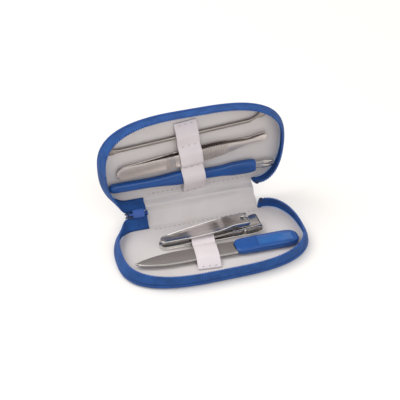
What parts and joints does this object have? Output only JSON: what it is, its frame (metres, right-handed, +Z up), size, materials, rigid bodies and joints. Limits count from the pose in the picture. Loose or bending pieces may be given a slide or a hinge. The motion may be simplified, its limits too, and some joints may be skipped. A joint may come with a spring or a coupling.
{
  "type": "manicure set case",
  "caption": "Oblong zip-round case standing open, with a padded spine, elastic straps and manicure tools held in both halves.",
  "frame": {"origin": "centre of the base half's underside, the face it rests on", "axes": "+X along the spine, +Y from the front of the base to the spine, +Z up"},
  "size_m": [0.114, 0.0726, 0.0726],
  "materials": {
    "cover": "soft-touch coated cloth, fine grain, satin",
    "board": "pressed paper board, hidden between cover and lining",
    "lining": "brushed warm-grey lining cloth",
    "tape": "woven polyester zip tape",
    "zip": "moulded coil teeth, satin",
    "zip_metal": "enamelled zinc, worn at the edges",
    "pull": "moulded soft plastic tab",
    "strap": "woven elastic, fine ribs",
    "thread": "polyester thread",
    "chrome": "polished nickel plate",
    "file_steel": "etched file face, dark grey",
    "tool_steel": "satin stainless steel",
    "handle": "moulded translucent blue plastic, glossy"
  },
  "bodies": {
    "base": {"base_cover": "cover", "base_board": "board", "base_lining": "lining", "base_tape": "tape", "base_teeth": "zip", "base_gusset": "tape", "base_strap": "strap", "base_stitches": "thread", "base_zip_stop": "zip_metal"},
    "spine": {"spine_cover": "cover", "spine_lining": "lining", "zip_chain": "zip"},
    "lid": {"lid_cover": "cover", "lid_board": "board", "lid_lining": "lining", "lid_tape": "tape", "lid_teeth": "zip", "lid_gusset": "tape", "lid_strap": "strap", "lid_stitches": "thread", "lid_zip_stop": "zip_metal"},
    "zip_slider": {"zip_slider": "zip_metal"},
    "zip_pull": {"zip_pull": "pull"},
    "clipper": {"clipper_lower_jaw": "chrome", "clipper_rivet": "chrome"},
    "clipper_upper": {"clipper_upper_jaw": "chrome"},
    "clipper_pin": {"clipper_pin": "chrome"},
    "clipper_lever": {"clipper_lever": "chrome"},
    "file": {"file_blade": "file_steel", "file_handle": "handle"},
    "tweezers": {"tweezer_back_arm": "tool_steel"},
    "tweezer_front": {"tweezer_front_arm": "tool_steel"},
    "pusher": {"pusher": "tool_steel"},
    "trimmer": {"trimmer_handle": "handle", "trimmer_fork": "tool_steel"}
  },
  "joints": [
    {"name": "spine_fold", "type": "hinge", "parent": "base", "child": "spine", "pos_m": [0, 0.0295, 0.0012], "axis": [-1, 0, 0], "range_deg": [-45, 45], "deforming": ["base_gusset", "lid_gusset", "zip_chain"]},
    {"name": "lid_fold", "type": "hinge", "parent": "spine", "child": "lid", "pos_m": [0, 0.04152, 0.01322], "axis": [-1, 0, 0], "range_deg": [-45, 45], "deforming": ["lid_gusset", "base_gusset"]},
    {"name": "zip_slide", "type": "slide", "parent": "spine", "child": "zip_slider", "axis": [1, 0, 0], "range_m": [0, 0.006], "deforming": ["zip_chain", "base_gusset", "lid_gusset"]},
    {"name": "pull_swing", "type": "hinge", "parent": "zip_slider", "child": "zip_pull", "pos_m": [-0.0412, 0.03106, 0.01167], "axis": [0, -0.7071, -0.7071], "range_deg": [0, 75]},
    {"name": "clipper_slide", "type": "slide", "parent": "base", "child": "clipper", "axis": [1, 0.0087, 0], "range_m": [-0.002, 0.003]},
    {"name": "clipper_squeeze", "type": "hinge", "parent": "clipper", "child": "clipper_upper", "pos_m": [-0.0216, 0.00841, 0.00312], "axis": [-0.0087, 1, 0], "range_deg": [0, 1], "stiffness_Nm_per_rad": 2},
    {"name": "pin_swivel", "type": "hinge", "parent": "clipper", "child": "clipper_pin", "pos_m": [0.0229, 0.0088, 0.0019], "axis": [0, 0, 1], "range_deg": [-10, 10]},
    {"name": "lever_lift", "type": "hinge", "parent": "clipper_pin", "child": "clipper_lever", "pos_m": [0.0229, 0.0088, 0.01], "axis": [-0.0087, 1, 0], "range_deg": [0, 25]},
    {"name": "file_slide", "type": "slide", "parent": "base", "child": "file", "axis": [0.9997, -0.0262, 0], "range_m": [-0.004, 0.0035]},
    {"name": "tweezer_slide", "type": "slide", "parent": "lid", "child": "tweezers", "axis": [0.9949, 0, 0.1011], "range_m": [-0.004, 0.003]},
    {"name": "tweezer_squeeze", "type": "hinge", "parent": "tweezers", "child": "tweezer_front", "pos_m": [-0.0392, 0.03832, 0.03728], "axis": [-0.1011, 0, 0.9949], "range_deg": [0, 0.8], "stiffness_Nm_per_rad": 0.5},
    {"name": "pusher_slide", "type": "slide", "parent": "lid", "child": "pusher", "axis": [0.9978, 0, 0.0663], "range_m": [-0.002, 0.001]},
    {"name": "trimmer_slide", "type": "slide", "parent": "lid", "child": "trimmer", "axis": [0.9999, 0, -0.0157], "range_m": [-0.0006, 0.0006]}
  ],
  "couplings": [
    {"joint": "lid_fold", "follows": "spine_fold", "ratio": 1}
  ]
}
